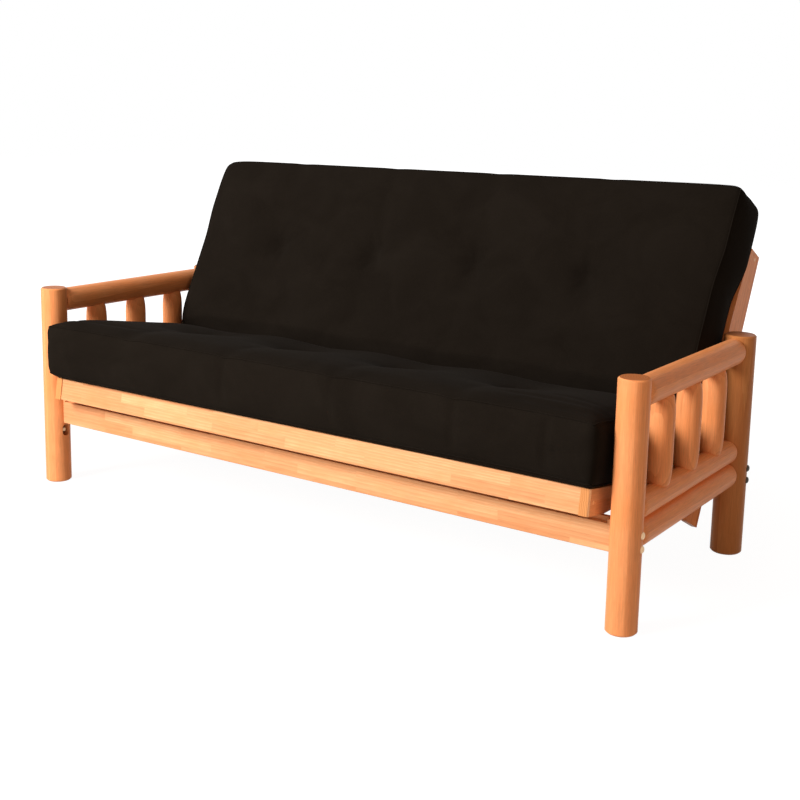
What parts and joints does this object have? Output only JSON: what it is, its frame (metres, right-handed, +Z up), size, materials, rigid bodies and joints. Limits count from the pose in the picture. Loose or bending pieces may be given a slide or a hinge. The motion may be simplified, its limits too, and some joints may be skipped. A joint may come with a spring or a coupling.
{
  "type": "futon sofa",
  "caption": "Log-arm pine futon sofa whose slatted seat and back slide and fold flat into a bed, with a tufted dark suede mattress bent over both decks.",
  "frame": {"origin": "on the floor, midway between the arms and midway between the mattress's front edge and the back deck's rearmost corner, drawn as a sofa", "axes": "+X to the right as seen from the front, +Y towards the back, +Z up; the front faces -Y"},
  "size_m": [2.136, 1.0656, 1.0438],
  "materials": {
    "pine": "satin",
    "pine_slats": "matte",
    "black_steel": "satin",
    "nylon": "satin",
    "suede": "matte",
    "filling": "matte"
  },
  "bodies": {
    "base": {"left_front_post": "pine", "right_front_post": "pine", "left_rear_post": "pine", "right_rear_post": "pine", "left_top_rail": "pine", "right_top_rail": "pine", "left_middle_rail": "pine", "right_middle_rail": "pine", "left_lower_rail": "pine", "right_lower_rail": "pine", "left_spindle_1": "pine", "left_spindle_2": "pine", "left_spindle_3": "pine", "right_spindle_1": "pine", "right_spindle_2": "pine", "right_spindle_3": "pine", "left_track": "pine", "right_track": "pine", "track_screws": "black_steel", "front_stretcher": "pine", "rear_stretcher": "pine", "stretcher_bolts": "black_steel", "barrel_nuts": "black_steel", "post_bolts": "black_steel"},
    "carriage": {"left_hinge_bolt": "black_steel", "right_hinge_bolt": "black_steel"},
    "left_wheel": {"left_roller": "nylon"},
    "right_wheel": {"right_roller": "nylon"},
    "seat_deck": {"seat_front_rail": "pine", "seat_rear_rail": "pine", "left_seat_rail": "pine", "right_seat_rail": "pine", "seat_slat_1": "pine_slats", "seat_slat_2": "pine_slats", "seat_slat_3": "pine_slats", "seat_slat_4": "pine_slats", "seat_slat_5": "pine_slats", "seat_slat_6": "pine_slats", "seat_slat_7": "pine_slats", "seat_slat_8": "pine_slats", "seat_frame_screws": "black_steel", "seat_slat_screws": "black_steel", "seat_mattress": "suede", "seat_filling": "filling"},
    "back_deck": {"back_top_rail": "pine", "back_bottom_rail": "pine", "left_stile": "pine", "right_stile": "pine", "back_slat_1": "pine_slats", "back_slat_2": "pine_slats", "back_slat_3": "pine_slats", "back_slat_4": "pine_slats", "back_slat_5": "pine_slats", "back_slat_6": "pine_slats", "back_slat_7": "pine_slats", "back_slat_8": "pine_slats", "back_frame_screws": "black_steel", "back_slat_screws": "black_steel", "back_mattress": "suede", "back_filling": "filling"}
  },
  "joints": [
    {"name": "pull_out", "type": "slide", "parent": "base", "child": "carriage", "axis": [0, -0.9315, 0.3638], "range_m": [0, 0.25765]},
    {"name": "seat_level", "type": "hinge", "parent": "carriage", "child": "seat_deck", "pos_m": [0, 0.14975, 0.22057], "axis": [1, 0, 0], "range_deg": [0, 9.3]},
    {"name": "back_fold", "type": "hinge", "parent": "seat_deck", "child": "back_deck", "pos_m": [0, 0.14975, 0.22057], "axis": [1, 0, 0], "range_deg": [-72.8, 0]},
    {"name": "left_roller_spin", "type": "hinge", "parent": "carriage", "child": "left_wheel", "pos_m": [0, 0.14975, 0.22057], "axis": [1, 0, 0], "range_deg": [0, 985]},
    {"name": "right_roller_spin", "type": "hinge", "parent": "carriage", "child": "right_wheel", "pos_m": [0, 0.14975, 0.22057], "axis": [1, 0, 0], "range_deg": [0, 985]}
  ],
  "couplings": [
    {"joint": "seat_level", "follows": "pull_out", "rad_per_m": 0.62998},
    {"joint": "back_fold", "follows": "pull_out", "rad_per_m": -4.9314},
    {"joint": "left_roller_spin", "follows": "pull_out", "rad_per_m": 66.667},
    {"joint": "right_roller_spin", "follows": "pull_out", "rad_per_m": 66.667}
  ]
}
